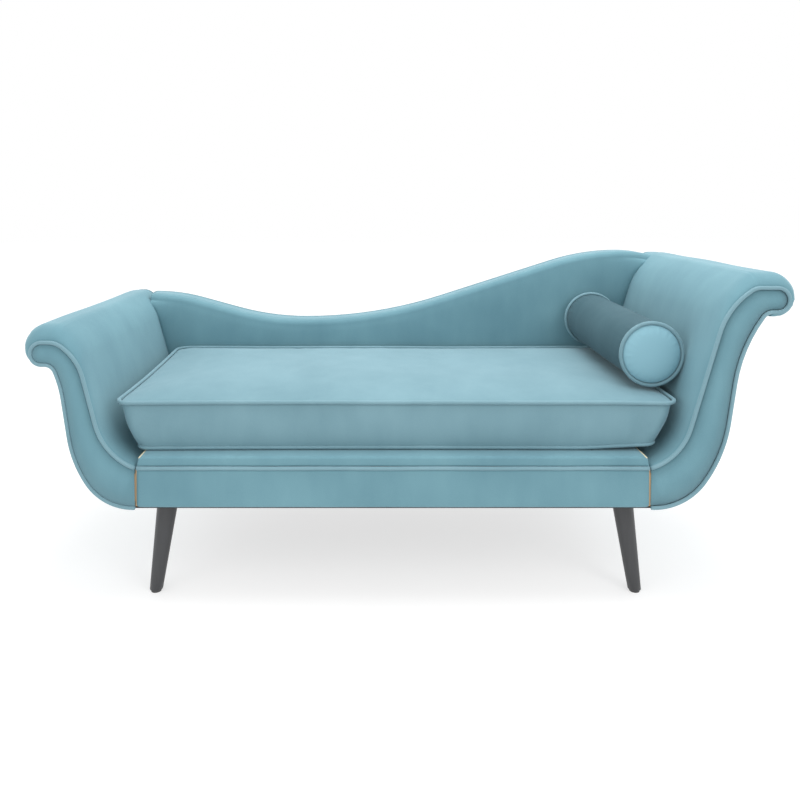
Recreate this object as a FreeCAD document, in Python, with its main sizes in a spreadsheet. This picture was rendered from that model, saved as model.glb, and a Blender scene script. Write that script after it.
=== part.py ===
import FreeCAD, Part

import math
import os
from FreeCAD import Rotation, Vector

# A two-armed chaise longue: swan-neck scroll arms, the right one higher, a low
# back with a wave along its top, a loose box cushion and a loose bolster.
# Millimetres. X runs along the seat, Y from the front to the back and Z up.
# The origin is on the floor under the middle of the object's box.
# Outlines are drawn from the middle of the seat base and the plane of the arm
# facings, and each piece's placement then carries it to its place.

SIZES = {
    # seat base
    "seam_x": 600, "arm_bottom": 228, "base_bottom": 226, "seam_height": 320,
    "deck_height": 347, "deck_edge_radius": 12, "deck_cover_wall": 3, "deck_end_gap": 4,
    "total_depth": 720, "back_depth": 100, "back_face_thickness": 30, "outside_back_thickness": 6,
    "rail_thickness": 28, "rail_bottom": 230, "rail_top": 316,
    "cross_rail_spacing": 400, "cross_rail_height": 60,
    "block_length": 100, "block_width": 80, "block_height": 60,
    # padding and skins
    "facing_thickness": 6, "skin_depth": 13, "wall_swell": 3, "roll_crest_radius": 36,
    "roll_under_run": 2, "pad_edge": 9, "outside_swell": 5, "piping_diameter": 9, "piping_proud": 3,
    "clearance": 0.3,
    # left arm outline, walked from the seam up the inside, over the scroll and down
    "left_top": 612, "left_level_run": 15, "left_rise_angle": 20.4, "left_wall_angle": 75,
    "left_shoulder_angle": 36, "left_cup_radius": 150, "left_shoulder_radius": 132,
    "left_crest_radius": 52, "left_tip_radius": 26, "left_under_run": 7,
    "left_roll_radius": 47, "left_roll_rise": 37, "left_neck_radius": 26,
    "left_neck_angle": 66, "left_flare_radius": 253, "left_flare_angle": 81,
    "left_belly_angle": 56, "left_belly_radius": 265, "left_keel_radius": 130,
    # right arm outline
    "right_top": 739, "right_level_run": 38, "right_rise_angle": 17.6, "right_wall_angle": 73,
    "right_shoulder_angle": 33, "right_cup_radius": 141, "right_shoulder_radius": 182,
    "right_crest_radius": 40, "right_tip_radius": 28, "right_under_run": 10,
    "right_roll_radius": 52, "right_roll_rise": 34, "right_neck_radius": 30,
    "right_neck_angle": 53.5, "right_flare_radius": 354, "right_flare_angle": 81,
    "right_belly_angle": 54, "right_belly_radius": 321, "right_keel_radius": 145,
    # wave of the back's top edge, its ends set off from the seams at the arms
    "back_left_over": 180, "back_right_over": 274, "shoulder_rise": 32, "peak_rise": 41,
    "peak_over": 155, "dip_x": -265, "dip_height": 561, "fall_run": 125, "rise_run": 383,
    "shoulder_share": 0.4, "peak_share": 0.33, "peak_fall_radius": 350,
    "back_corner_radius": 22, "back_edge": 8,
    # frame inside the arms and the back
    "gable_thickness": 18, "scroll_rail_radius": 11, "arm_rail_width": 80,
    "arm_rail_thickness": 18, "lower_rail_width": 34, "lower_rail_height": 24,
    "lower_rail_inset": 8, "lower_rail_lift": 14, "top_rail_height": 80,
    "top_rail_thickness": 27, "post_gap": 3, "straps_between_posts": 4,
    # seat suspension
    "strap_width": 50, "strap_thickness": 2, "strap_count": 10, "strap_spacing": 112,
    "long_strap_count": 3, "long_strap_spacing": 170,
    # legs, round ones drawn with many flat sides
    "left_leg_inset": 30, "right_leg_inset": 15, "leg_set_back": 70,
    "leg_splay": 24, "leg_top_radius": 26, "leg_foot_radius": 15.5, "leg_sides": 24,
    "glide_height": 4, "glide_radius": 12, "plate_width": 70, "plate_thickness": 3,
    "bolt_radius": 4, "bolt_length": 70, "bolt_depth": 42, "dust_cover_thickness": 1,
    "dust_cover_gap": 2,
    # seat cushion
    "cushion_front_y": 42, "cushion_back_gap": 10, "cushion_height": 112,
    "cushion_left_over": 14, "cushion_right_over": 34, "cushion_flare": 46,
    "cushion_back_rise": 18, "cushion_crown": 26, "cushion_corner": 30, "corner_steps": 3, "border_swell": 4,
    "side_draw": 5, "side_steps": 4, "cushion_wall": 4, "crown_width": 180, "crown_steps": 3, "border_steps": 2,
    # bolster
    "bolster_radius": 75, "bolster_front_y": 104, "bolster_back_gap": 20,
    "bolster_tilt": 1.6, "bolster_yaw": 1.5, "bolster_end_crown": 14, "bolster_end_flat": 30,
    "bolster_end_steps": 2,
    "bolster_wall": 4, "core_sides": 24,
}

doc = FreeCAD.newDocument("chaise_longue")
sheet = doc.addObject("Spreadsheet::Sheet", "sizes")
for row, (alias, number) in enumerate(SIZES.items(), start=1):
    sheet.set(f"A{row}", alias)
    sheet.set(f"B{row}", str(number))
    sheet.setAlias(f"B{row}", alias)
doc.recompute()

# Levels that several pieces share, as expressions
ORIGIN_Y = "(sizes.piping_proud - sizes.total_depth) / 2"
SKIN_Y = "(sizes.facing_thickness + sizes.clearance)"
RAIL_Y = f"({SKIN_Y} + sizes.rail_thickness)"
BACK_Y = "(sizes.total_depth - sizes.back_depth)"
HOLLOW_Y = f"({BACK_Y} + sizes.back_face_thickness)"
RAIL_BACK_Y = f"({HOLLOW_Y} + sizes.gable_thickness)"
REAR_Y = "(sizes.total_depth - sizes.outside_back_thickness)"
PIPING_GAP = "(sizes.piping_diameter / 2 + sizes.clearance)"
RAIL_HEIGHT = "sizes.rail_top - sizes.rail_bottom"
PLATE_BOTTOM = "(sizes.rail_bottom - sizes.plate_thickness)"
END_RAIL_X = "(sizes.seam_x - sizes.clearance)"
STRAP_TOP = "(sizes.rail_top + 2 * sizes.strap_thickness)"

CLOSE = 0.01
finished = []


def size(alias):
    return float(sheet.get(alias))


def bind(piece, **expressions):
    for prop, expression in expressions.items():
        piece.setExpression(prop.replace("_", "."), expression)
    return piece


def locate(piece, x="0", y="0", z="0"):
    """Set a piece off from the middle of the base and the facing plane."""
    return bind(piece, Placement_Base_x=x, Placement_Base_y=y, Placement_Base_z=z)


def place(piece, x="0", y="0", z="0"):
    """Put a finished piece where the object's own origin wants it."""
    locate(piece, f"{origin_x} + {x}", f"{ORIGIN_Y} + {y}", z)
    finished.append(piece)
    return piece


# Outlines in the XZ plane

def at(x, z):
    return Vector(x, 0, z)


def polyline(points):
    return [Part.LineSegment(one, two) for one, two in zip(points, points[1:])]


class Walk:
    """An outline walked as straight runs and tangent arcs."""

    def __init__(self, x, z, heading):
        self.x = x
        self.z = z
        self.heading = math.radians(heading)
        self.edges = []

    def run(self, length):
        start = self.end()
        if abs(length) < CLOSE:
            return
        self.x += length * math.cos(self.heading)
        self.z += length * math.sin(self.heading)
        self.edges.append(Part.LineSegment(start, self.end()))

    def turn(self, radius, degrees):
        side = math.copysign(1, degrees)
        centre = at(self.x - side * radius * math.sin(self.heading),
                    self.z + side * radius * math.cos(self.heading))
        points = []
        for share in (0, 0.5, 1):
            angle = self.heading + math.radians(degrees) * share
            points.append(centre + at(side * radius * math.sin(angle),
                                      -side * radius * math.cos(angle)))
        self.edges.append(Part.Arc(*points))
        self.x = points[2].x
        self.z = points[2].z
        self.heading += math.radians(degrees)

    def start(self):
        return self.edges[0].toShape().Vertexes[0].Point

    def end(self):
        return at(self.x, self.z)


class Arm:
    """One arm's outline, which padding and skins move outwards or inwards."""

    def __init__(self, side):
        self.side = side
        self.sign = -1 if side == "left" else 1

    def get(self, name):
        return size(f"{self.side}_{name}")

    def climb_of_wall(self, wall, rise_by, crest):
        """Length of the straight run up the inside wall."""
        rise = math.radians(self.get("rise_angle"))
        lean = math.radians(self.get("wall_angle"))
        ease = math.radians(self.get("shoulder_angle"))
        climb = self.get("top") + rise_by - size("seam_height") - wall * math.cos(rise)
        climb -= (self.get("cup_radius") - wall) * (math.cos(rise) - math.cos(lean))
        climb -= (self.get("shoulder_radius") + wall) * (math.cos(ease) - math.cos(lean))
        climb -= crest * (1 - math.cos(ease))
        return climb / math.sin(lean)

    def crest_end(self, wall, rise_by, crest):
        """How far out the crest ends and the level run begins."""
        rise = math.radians(self.get("rise_angle"))
        lean = math.radians(self.get("wall_angle"))
        ease = math.radians(self.get("shoulder_angle"))
        x = size("seam_x") - wall * math.sin(rise)
        x += (self.get("cup_radius") - wall) * (math.sin(lean) - math.sin(rise))
        x += self.climb_of_wall(wall, rise_by, crest) * math.cos(lean)
        x += (self.get("shoulder_radius") + wall) * (math.sin(lean) - math.sin(ease))
        return x + crest * math.sin(ease)

    def tip_x(self):
        """Centre of the scroll's round tip."""
        return self.crest_end(0, 0, self.get("crest_radius")) + self.get("level_run")

    def neck_x(self):
        return self.tip_x() - self.get("under_run")

    def roll_x(self):
        """Centre of the padded roll."""
        return self.neck_x() + size("roll_under_run")

    def reach(self):
        return self.roll_x() + self.get("roll_radius")

    def padded(self, to_seam=False):
        """The padding's outline: thin on the wall, full round the scroll."""
        return self.inside(size("wall_swell"), self.get("roll_rise"), size("roll_crest_radius"),
                           self.get("roll_radius"), self.roll_x(), size("clearance"), to_seam)

    def skinned(self, grow, stop_short=0, to_seam=False):
        """The inside outline moved outwards by the same amount all along."""
        return self.inside(grow, grow, self.get("crest_radius") + grow,
                           self.get("tip_radius") + grow, self.tip_x(), stop_short, to_seam)

    def inside(self, wall, rise_by, crest, tip, tip_x, stop_short, to_seam):
        """From the seam up the inside wall and round the scroll to the neck."""
        rise = math.radians(self.get("rise_angle"))
        lean = math.radians(self.get("wall_angle"))
        x = size("seam_x") - wall * math.sin(rise)
        z = size("seam_height") + wall * math.cos(rise)
        wall_run = self.climb_of_wall(wall, rise_by, crest)
        walk = Walk(x, z, self.get("rise_angle"))
        if to_seam:
            back = (x - size("seam_x")) / math.cos(rise)
            walk = Walk(size("seam_x"), z - back * math.sin(rise), self.get("rise_angle"))
            walk.run(back)
        walk.turn(self.get("cup_radius") - wall, self.get("wall_angle") - self.get("rise_angle"))
        walk.run(wall_run)
        walk.wall_middle = walk.end() - at(math.cos(lean), math.sin(lean)) * (wall_run / 2)
        walk.turn(self.get("shoulder_radius") + wall,
                  self.get("shoulder_angle") - self.get("wall_angle"))
        walk.wall_edges = list(walk.edges)
        walk.wall_end = walk.end()
        walk.turn(crest, -self.get("shoulder_angle"))
        walk.run(tip_x - walk.x)
        walk.turn(tip, -180)
        walk.run(walk.x - self.neck_x() - stop_short)
        return walk

    def outside(self, grow, to_seam=False):
        """From the neck down the outside to the seam under the arm."""
        neck = self.skinned(0).end()
        bend = math.radians(self.get("neck_angle"))
        lean = math.radians(self.get("flare_angle"))
        tuck = math.radians(self.get("belly_angle"))
        flare = self.get("flare_radius") - grow
        belly = self.get("belly_radius") + grow
        keel = self.get("keel_radius") + grow
        drop = neck.z - size("arm_bottom")
        drop -= (self.get("neck_radius") - grow) * (1 - math.cos(bend))
        drop -= flare * (math.cos(bend) - math.cos(lean))
        drop -= belly * (math.cos(tuck) - math.cos(lean)) + keel * (1 - math.cos(tuck))
        walk = Walk(neck.x, neck.z - grow, 180)
        walk.turn(self.get("neck_radius") - grow, self.get("neck_angle"))
        walk.turn(flare, self.get("flare_angle") - self.get("neck_angle"))
        walk.run(drop / math.sin(lean))
        walk.turn(belly, self.get("belly_angle") - self.get("flare_angle"))
        walk.turn(keel, -self.get("belly_angle"))
        if to_seam:
            walk.run(walk.x - size("seam_x"))
        return walk

    def whole(self, grow):
        """The closed outline of the arm, squared off at the seam."""
        first = self.skinned(grow, to_seam=True)
        second = self.outside(grow, to_seam=True)
        closing = polyline([second.end(), first.start()])
        return self.mirror(first.edges + second.edges + closing)

    def full(self):
        """The closed outline of the arm with its padding, squared off at the seam."""
        first = self.padded(to_seam=True)
        second = self.outside(0, to_seam=True)
        closing = polyline([first.end(), second.start()]) + polyline([second.end(), first.start()])
        return self.mirror(first.edges + second.edges + closing)

    def band(self, outer, inner):
        """A closed band between two outlines that run side by side."""
        ends = polyline([outer.end(), inner.end()]) + polyline([inner.start(), outer.start()])
        return self.mirror(outer.edges + inner.edges + ends)

    def mirror(self, edges):
        if self.sign > 0:
            return edges
        return [redraw(edge, mirrored) for edge in edges]


def mirrored(point):
    return at(-point.x, point.z)


def redraw(edge, move):
    """The same run or arc with its points moved."""
    shape = edge.toShape()
    start, finish = (vertex.Point for vertex in shape.Vertexes)
    if isinstance(edge, Part.LineSegment):
        return Part.LineSegment(move(start), move(finish))
    middle = shape.valueAt((shape.FirstParameter + shape.LastParameter) / 2)
    return Part.Arc(move(start), move(middle), move(finish))


def s_curve(across, climb, run):
    """Turn and sum of the radii of a curve that leaves one level and ends level."""
    turn = 2 * math.atan2(climb, across + run)
    return math.degrees(turn), (across - run * math.cos(turn)) / math.sin(turn)


def wave(grow, left_foot, right_foot):
    """The back's top edge with its rounded corners and two short sides."""
    corner = size("back_corner_radius") + grow
    left_x = -size("seam_x") - size("back_left_over") - grow
    right_x = size("seam_x") + size("back_right_over") + grow
    peak_x = size("seam_x") + size("peak_over")
    shoulder = size("left_top") + size("shoulder_rise")
    dip = size("dip_height")
    turn_down, radii_down = s_curve(size("dip_x") - left_x - corner, shoulder - dip, size("fall_run"))
    turn_up, radii_up = s_curve(peak_x - size("dip_x"), size("right_top") + size("peak_rise") - dip,
                                size("rise_run"))
    round_down = size("shoulder_share") * radii_down
    round_up = size("peak_share") * radii_up
    fall = size("peak_fall_radius") + grow
    turn_fall = math.degrees(math.asin((right_x - corner - peak_x) / (fall - corner)))
    walk = Walk(left_x, left_foot, 90)
    walk.run(shoulder + grow - corner - left_foot)
    walk.turn(corner, -90)
    walk.turn(round_down + grow, -turn_down)
    walk.run(size("fall_run"))
    walk.turn(radii_down - round_down - grow, turn_down)
    walk.turn(radii_up - round_up - grow, turn_up)
    walk.run(size("rise_run"))
    walk.turn(round_up + grow, -turn_up)
    walk.turn(fall, -turn_fall)
    walk.turn(corner, turn_fall - 90)
    walk.run(walk.z - right_foot)
    return walk


left_arm = Arm("left")
right_arm = Arm("right")
origin_x = (left_arm.reach() - right_arm.reach()) / 2
left_reach = f"{left_arm.reach()}"
reach_all = f"{left_arm.reach() + right_arm.reach()}"


def face_of(edges):
    return Part.Face(Part.Wire(Part.__sortEdges__([edge.toShape() for edge in edges])))


def back_outline(grow=None):
    """The whole back: the wave joined to both arms, with their padding unless they shrink."""
    shrink = grow or 0
    inset = shrink - size("skin_depth") / 2
    left = left_arm.skinned(inset, to_seam=True)
    right = right_arm.skinned(inset, to_seam=True)
    top = wave(shrink, left_arm.get("top") - size("skin_depth"), right_arm.get("top") - size("skin_depth"))
    floor = size("arm_bottom") - shrink
    edges = top.edges + left_arm.mirror(left.wall_edges) + right.wall_edges
    edges += polyline([top.end(), right.wall_end])
    edges += polyline([mirrored(left.wall_end), top.start()])
    edges += polyline([right.start(), at(right.start().x, floor), at(-left.start().x, floor),
                       mirrored(left.start())])
    arms = [arm.full() if grow is None else arm.whole(grow) for arm in (left_arm, right_arm)]
    sheets = [face_of(outline).extrude(Vector(0, 1, 0)) for outline in [edges] + arms]
    whole = sheets[0].fuse(sheets[1:]).removeSplitter()
    front = min(whole.Faces, key=lambda face: face.CenterOfMass.y)
    return [curve_of(edge) for edge in front.OuterWire.Edges]


def curve_of(edge):
    start, finish = (vertex.Point for vertex in edge.Vertexes)
    if isinstance(edge.Curve, Part.Line):
        return Part.LineSegment(start, finish)
    middle = edge.valueAt((edge.FirstParameter + edge.LastParameter) / 2)
    return Part.Arc(start, middle, finish)


# Builders for the kinds of piece

ALONG_X = Rotation(Vector(0, 1, 0), 90)
ALONG_Y = Rotation(Vector(1, 0, 0), -90)


def slab(label, edges, length):
    """A board, panel or pad: an outline carried from front to back."""
    body = doc.addObject("PartDesign::Body", label)
    plane = next(item for item in body.Origin.OriginFeatures if item.Role == "XZ_Plane")
    sketch = body.newObject("Sketcher::SketchObject", f"{label}_outline")
    sketch.AttachmentSupport = [(plane, "")]
    sketch.MapMode = "FlatFace"
    for edge in edges:
        sketch.addGeometry(redraw(edge, lambda point: Vector(point.x, point.z, 0)), False)
    pad = body.newObject("PartDesign::Pad", f"{label}_pad")
    pad.Profile = sketch
    pad.Reversed = True
    bind(pad, Length=length)
    doc.recompute()
    return body


def middle_of(edge):
    return edge.valueAt((edge.FirstParameter + edge.LastParameter) / 2)


def ease_edges(label, base, edges, width):
    """Take off the edges round a slab's front that follow an outline."""
    outline = Part.Compound([edge.toShape() for edge in edges])
    piece = doc.addObject("Part::Chamfer", label)
    piece.Base = base
    piece.Edges = [(number, width, width) for number, edge in enumerate(base.Shape.Edges, start=1)
                   if outline.distToShape(Part.Vertex(middle_of(edge)))[0] < CLOSE]
    return piece


def box(label, length, width, height):
    return bind(doc.addObject("Part::Box", label), Length=length, Width=width, Height=height)


def cylinder(label, radius, height):
    return bind(doc.addObject("Part::Cylinder", label), Radius=radius, Height=height)


def cut(label, base, tools):
    tool = tools[0]
    if len(tools) > 1:
        tool = doc.addObject("Part::MultiFuse", f"{label}_tools")
        tool.Shapes = tools
    piece = doc.addObject("Part::Cut", label)
    piece.Base = base
    piece.Tool = tool
    return piece


def group(label, pieces):
    piece = doc.addObject("Part::Compound", label)
    piece.Links = pieces
    return piece


def solid(label, shape):
    piece = doc.addObject("Part::Feature", label)
    piece.Shape = shape
    return piece


def stretched(rings, looped=False):
    """A solid of flat faces from ring to ring, each ring a closed list of corners in one plane."""
    ends = [] if looped else [rings[0], rings[-1]]
    faces = [Part.Face(Part.makePolygon(ring + ring[:1])) for ring in ends]
    for ring, following in zip(rings, rings[1:] + (rings[:1] if looped else [])):
        sides = list(zip(ring, following))
        for (one, over_one), (two, over_two) in zip(sides, sides[1:] + sides[:1]):
            for flat in ([one, two, over_two], [one, over_two, over_one]):
                faces.append(Part.Face(Part.makePolygon(flat + flat[:1])))
    whole = Part.Solid(Part.Shell(faces))
    if whole.Volume < 0:
        whole.reverse()
    return whole.removeSplitter()


def tube(path, radius):
    """A cord of six sides along a path of straight runs and tangent arcs."""
    wire = Part.Wire(Part.__sortEdges__([edge.toShape() for edge in path]))
    first = wire.OrderedEdges[0]
    parameter = first.FirstParameter if first.Orientation == "Forward" else first.LastParameter
    start = first.valueAt(parameter)
    along = first.tangentAt(parameter)
    out = Vector(0, 0, 1) if abs(along.z) < 0.5 else Vector(0, 1, 0)
    out = (out - along * out.dot(along)).normalize()
    corners = [start + Rotation(along, 60 * number).multVec(out * radius) for number in range(7)]
    return wire.makePipeShell([Part.makePolygon(corners)], True, False)


# Arms: padding, facings, piping, outside panels and the boards within

PAD_LENGTH = f"{BACK_Y} - sizes.clearance - {SKIN_Y}"
skin = size("skin_depth")
gap = size("clearance")
pipe_radius = size("piping_diameter") / 2
for arm in (left_arm, right_arm):
    side = arm.side
    outer = arm.padded()
    inner = arm.skinned(-skin, stop_short=gap)
    block = slab(f"{side}_pad_block", arm.band(outer, inner), PAD_LENGTH)
    place(ease_edges(f"{side}_arm_pad", block, arm.mirror(outer.edges), size("pad_edge")), y=SKIN_Y)

    panel = slab(f"{side}_outside_arm", arm.band(arm.outside(size("outside_swell")), arm.outside(-skin)),
                 f"{REAR_Y} - {SKIN_Y}")
    place(panel, y=SKIN_Y)

    facing = slab(f"{side}_arm_facing", arm.whole(-pipe_radius - gap), "sizes.facing_thickness")
    place(facing)

    cord = arm.mirror(arm.skinned(0).edges + arm.outside(0).edges)
    piping = solid(f"{side}_facing_piping", tube(cord, pipe_radius))
    place(piping, y="(sizes.piping_diameter / 2 - sizes.piping_proud)")

    for end, start in (("front", SKIN_Y), ("rear", HOLLOW_Y)):
        gable = slab(f"{side}_{end}_gable", arm.whole(-skin - gap), "sizes.gable_thickness")
        place(gable, y=start)

    gable_back = f"({SKIN_Y} + sizes.gable_thickness)"
    between = f"{HOLLOW_Y} - {gable_back}"
    rail = cylinder(f"{side}_scroll_rail", "sizes.scroll_rail_radius", between)
    rail.Placement.Rotation = ALONG_Y
    place(rail, f"{arm.sign * arm.tip_x()}", gable_back, f"sizes.{side}_top - sizes.{side}_tip_radius")

    board = box(f"{side}_arm_rail", "sizes.arm_rail_width", between, "sizes.arm_rail_thickness")
    middle = inner.wall_middle
    lean = arm.get("wall_angle")
    along = at(math.cos(math.radians(lean)), math.sin(math.radians(lean)))
    corner = middle - along * (size("arm_rail_width") / 2)
    corner += at(along.z, -along.x) * (gap + size("arm_rail_thickness"))
    if arm.sign < 0:
        corner += along * size("arm_rail_width")
    board.Placement.Rotation = Rotation(Vector(0, 1, 0), -arm.sign * lean)
    place(board, f"{arm.sign * corner.x}", gable_back, f"{corner.z}")

    lower = box(f"{side}_lower_rail", "sizes.lower_rail_width", between, "sizes.lower_rail_height")
    lower_x = "(sizes.seam_x + sizes.lower_rail_inset)"
    if arm.sign < 0:
        lower_x = "-(sizes.seam_x + sizes.lower_rail_inset + sizes.lower_rail_width)"
    place(lower, lower_x, gable_back, "sizes.arm_bottom + sizes.skin_depth + sizes.lower_rail_lift")

# Back: padded face, strip over the top, outside panel and frame

rim_cuts = []
core_cuts = []
for arm in (left_arm, right_arm):
    grown = arm.band(arm.outside(size("outside_swell") + gap), arm.outside(-skin - gap))
    rim_cuts.append(locate(slab(f"{arm.side}_rim_cut", grown, "sizes.total_depth")))
    core_cuts.append(locate(slab(f"{arm.side}_core_cut", arm.whole(-skin), "sizes.total_depth")))

face_block = slab("inside_back_block", back_outline(), "sizes.back_face_thickness")
top_edges = wave(0, left_arm.get("top"), right_arm.get("top")).edges[1:-1]
face = ease_edges("inside_back_face", face_block, top_edges, size("back_edge"))
locate(face, y=BACK_Y)
below_seat = box("below_seat", reach_all, "sizes.total_depth", "sizes.seam_height")
locate(below_seat, f"-{left_reach}")
place(cut("inside_back", face, [below_seat] + rim_cuts + core_cuts))

strip_block = locate(slab("back_strip_block", back_outline(), f"{REAR_Y} - {HOLLOW_Y}"), y=HOLLOW_Y)
hollow = locate(slab("back_hollow", back_outline(-skin), "sizes.total_depth"))
low_left = box("low_left", f"{left_reach} + sizes.seam_x", "sizes.total_depth",
               "sizes.dip_height - sizes.skin_depth")
locate(low_left, f"-{left_reach}")
low_right = box("low_right", reach_all, "sizes.total_depth",
                "sizes.right_top + sizes.right_roll_rise - 2 * sizes.right_roll_radius")
locate(low_right, "sizes.seam_x")
place(cut("back_top_strip", strip_block, [hollow, low_left, low_right] + rim_cuts))

place(slab("outside_back", back_outline(), "sizes.outside_back_thickness"), y=REAR_Y)

rail_wave = wave(-skin - gap, left_arm.get("top"), right_arm.get("top"))
rail_top_edge = rail_wave.edges[1:-1]
down = at(0, size("top_rail_height"))
lower_edge = [redraw(edge, lambda point: point - down) for edge in rail_top_edge]
rail_ends = (rail_wave.edges[0].toShape().Vertexes[1].Point, rail_wave.edges[-1].toShape().Vertexes[0].Point)
sides = [Part.LineSegment(point, point - down) for point in rail_ends]
back_limit = locate(slab("back_limit", back_outline(-skin - gap), "sizes.total_depth"))
rail_blank = slab("back_top_rail_blank", rail_top_edge + lower_edge + sides, "sizes.top_rail_thickness")
back_top_rail = doc.addObject("Part::Common", "back_top_rail")
back_top_rail.Base = locate(rail_blank, y=RAIL_BACK_Y)
back_top_rail.Tool = back_limit
place(back_top_rail)

back_rail = box("back_rail", f"2 * {END_RAIL_X}", "sizes.rail_thickness", RAIL_HEIGHT)
place(back_rail, f"-{END_RAIL_X}", RAIL_BACK_Y, "sizes.rail_bottom")

post_width = "(sizes.strap_spacing - sizes.strap_width - 2 * sizes.post_gap)"
posts = []
for number in (-1, 0, 1):
    post = box(f"post_{number + 2}", post_width, "sizes.gable_thickness", "sizes.right_top + sizes.peak_rise")
    posts.append(locate(post, f"{number} * sizes.straps_between_posts * sizes.strap_spacing - {post_width} / 2",
                        HOLLOW_Y, "sizes.rail_bottom"))
back_posts = doc.addObject("Part::Common", "back_posts")
back_posts.Base = group("post_blanks", posts)
back_posts.Tool = back_limit
place(back_posts)

# Base: rails, blocks, webbing, deck, front panel, piping and dust cover

RAIL_RUN = f"{RAIL_BACK_Y} - {RAIL_Y}"
front_rail = box("front_rail", f"2 * {END_RAIL_X}", "sizes.rail_thickness", RAIL_HEIGHT)
place(front_rail, f"-{END_RAIL_X}", SKIN_Y, "sizes.rail_bottom")
for side, x in (("left", f"-{END_RAIL_X}"), ("right", f"{END_RAIL_X} - sizes.rail_thickness")):
    place(box(f"{side}_end_rail", "sizes.rail_thickness", RAIL_RUN, RAIL_HEIGHT),
          f"({x})", RAIL_Y, "sizes.rail_bottom")
for side, sign in (("left", -1), ("right", 1)):
    place(box(f"{side}_cross_rail", "sizes.rail_thickness", RAIL_RUN, "sizes.cross_rail_height"),
          f"({sign} * sizes.cross_rail_spacing / 2 - sizes.rail_thickness / 2)",
          RAIL_Y, "sizes.rail_bottom")

straps = []
for number in range(int(size("strap_count"))):
    offset = number - (size("strap_count") - 1) / 2
    strap = box(f"strap_{number + 1}", "sizes.strap_width",
                f"{RAIL_BACK_Y} + sizes.rail_thickness - {SKIN_Y}", "sizes.strap_thickness")
    straps.append(locate(strap, f"{offset} * sizes.strap_spacing - sizes.strap_width / 2",
                         SKIN_Y, "sizes.rail_top"))
place(group("webbing_straps", straps))

long_straps = []
for number in range(int(size("long_strap_count"))):
    offset = number - (size("long_strap_count") - 1) / 2
    strap = box(f"long_strap_{number + 1}", f"2 * {END_RAIL_X}", "sizes.strap_width",
                "sizes.strap_thickness")
    y = f"{BACK_Y} / 2 + {offset} * sizes.long_strap_spacing - sizes.strap_width / 2"
    long_straps.append(locate(strap, f"-{END_RAIL_X}", y, "sizes.rail_top + sizes.strap_thickness"))
place(group("webbing_long_straps", long_straps))

deck_half = "(sizes.seam_x - sizes.deck_end_gap)"
deck_low = f"(sizes.seam_height + {PIPING_GAP})"
deck_back = f"({BACK_Y} - sizes.clearance)"
deck_block = box("deck_block", f"2 * {deck_half}", deck_back, f"sizes.deck_height - {deck_low}")
locate(deck_block, f"-{deck_half}", "0", deck_low)
doc.recompute()
deck_round = doc.addObject("Part::Fillet", "deck_round")
deck_round.Base = deck_block
radius = size("deck_edge_radius")
deck_round.Edges = [(number, radius, radius) for number, edge in enumerate(deck_block.Shape.Edges, 1)
                    if abs(edge.CenterOfMass.z - size("deck_height")) < CLOSE
                    and (edge.CenterOfMass.y < CLOSE or abs(edge.CenterOfMass.x) > size("cross_rail_spacing"))]
wall = "sizes.deck_cover_wall"
deck_room = box("deck_room", f"2 * ({deck_half} - {wall})", f"{deck_back} - 2 * {wall}",
                f"sizes.deck_height - {deck_low}")
locate(deck_room, f"{wall} - {deck_half}", wall, f"{deck_low} - {wall}")
place(cut("deck_cover", deck_round, [deck_room]))
foam_low = f"({STRAP_TOP} + sizes.clearance)"
deck_foam = box("deck_foam", f"2 * ({deck_half} - {wall} - sizes.clearance)",
                f"{deck_back} - {wall} - sizes.clearance - {SKIN_Y}",
                f"sizes.deck_height - {wall} - sizes.clearance - {foam_low}")
place(deck_foam, f"{wall} + sizes.clearance - {deck_half}", SKIN_Y, foam_low)

base_front = box("base_front", f"2 * {END_RAIL_X}", "sizes.facing_thickness",
                 f"sizes.seam_height - {PIPING_GAP} - sizes.base_bottom")
place(base_front, f"-{END_RAIL_X}", "0", "sizes.base_bottom")
base_piping = cylinder("base_piping", "sizes.piping_diameter / 2", f"2 * ({deck_half})")
base_piping.Placement.Rotation = ALONG_X
place(base_piping, f"-{deck_half}", "sizes.piping_diameter / 2 - sizes.piping_proud", "sizes.seam_height")

# Legs, glides, plates and bolts, the same at each corner apart from the splay

corners = []
for side, sign in (("left", -1), ("right", 1)):
    for end, lean, foot_y in (("front", 1, "sizes.leg_set_back"),
                              ("rear", -1, "(sizes.total_depth - sizes.leg_set_back)")):
        foot = (f"{sign} * (sizes.seam_x - sizes.{side}_leg_inset)", foot_y)
        top = (f"{foot[0]} - {sign} * sizes.leg_splay", f"{foot[1]} + {lean} * sizes.leg_splay")
        corners.append((f"{end}_{side}", sign, lean, foot, top))

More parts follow.
